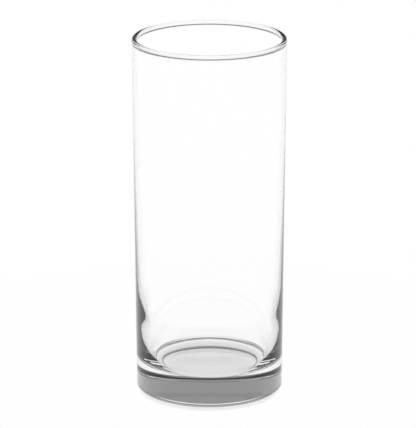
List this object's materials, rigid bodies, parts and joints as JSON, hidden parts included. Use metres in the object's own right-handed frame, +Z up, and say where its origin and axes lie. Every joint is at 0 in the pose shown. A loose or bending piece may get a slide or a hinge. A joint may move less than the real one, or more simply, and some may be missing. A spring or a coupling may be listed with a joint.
{
  "type": "highball glass",
  "caption": "Tall straight highball glass of clear soda-lime glass, with a rounded rim bead, a wall that thickens downwards and a heavy base with a shallow recess under it.",
  "frame": {"origin": "middle of the ring that the glass stands on, at the level of the table", "axes": "+Z up along the axis of the glass, towards the rim; +X and +Y are free, because the glass is round"},
  "size_m": [0.0632, 0.0632, 0.15],
  "materials": {
    "clear_glass": "clear, fire-polished, smooth all over"
  },
  "bodies": {
    "root": {"tumbler": "clear_glass"}
  },
  "joints": []
}
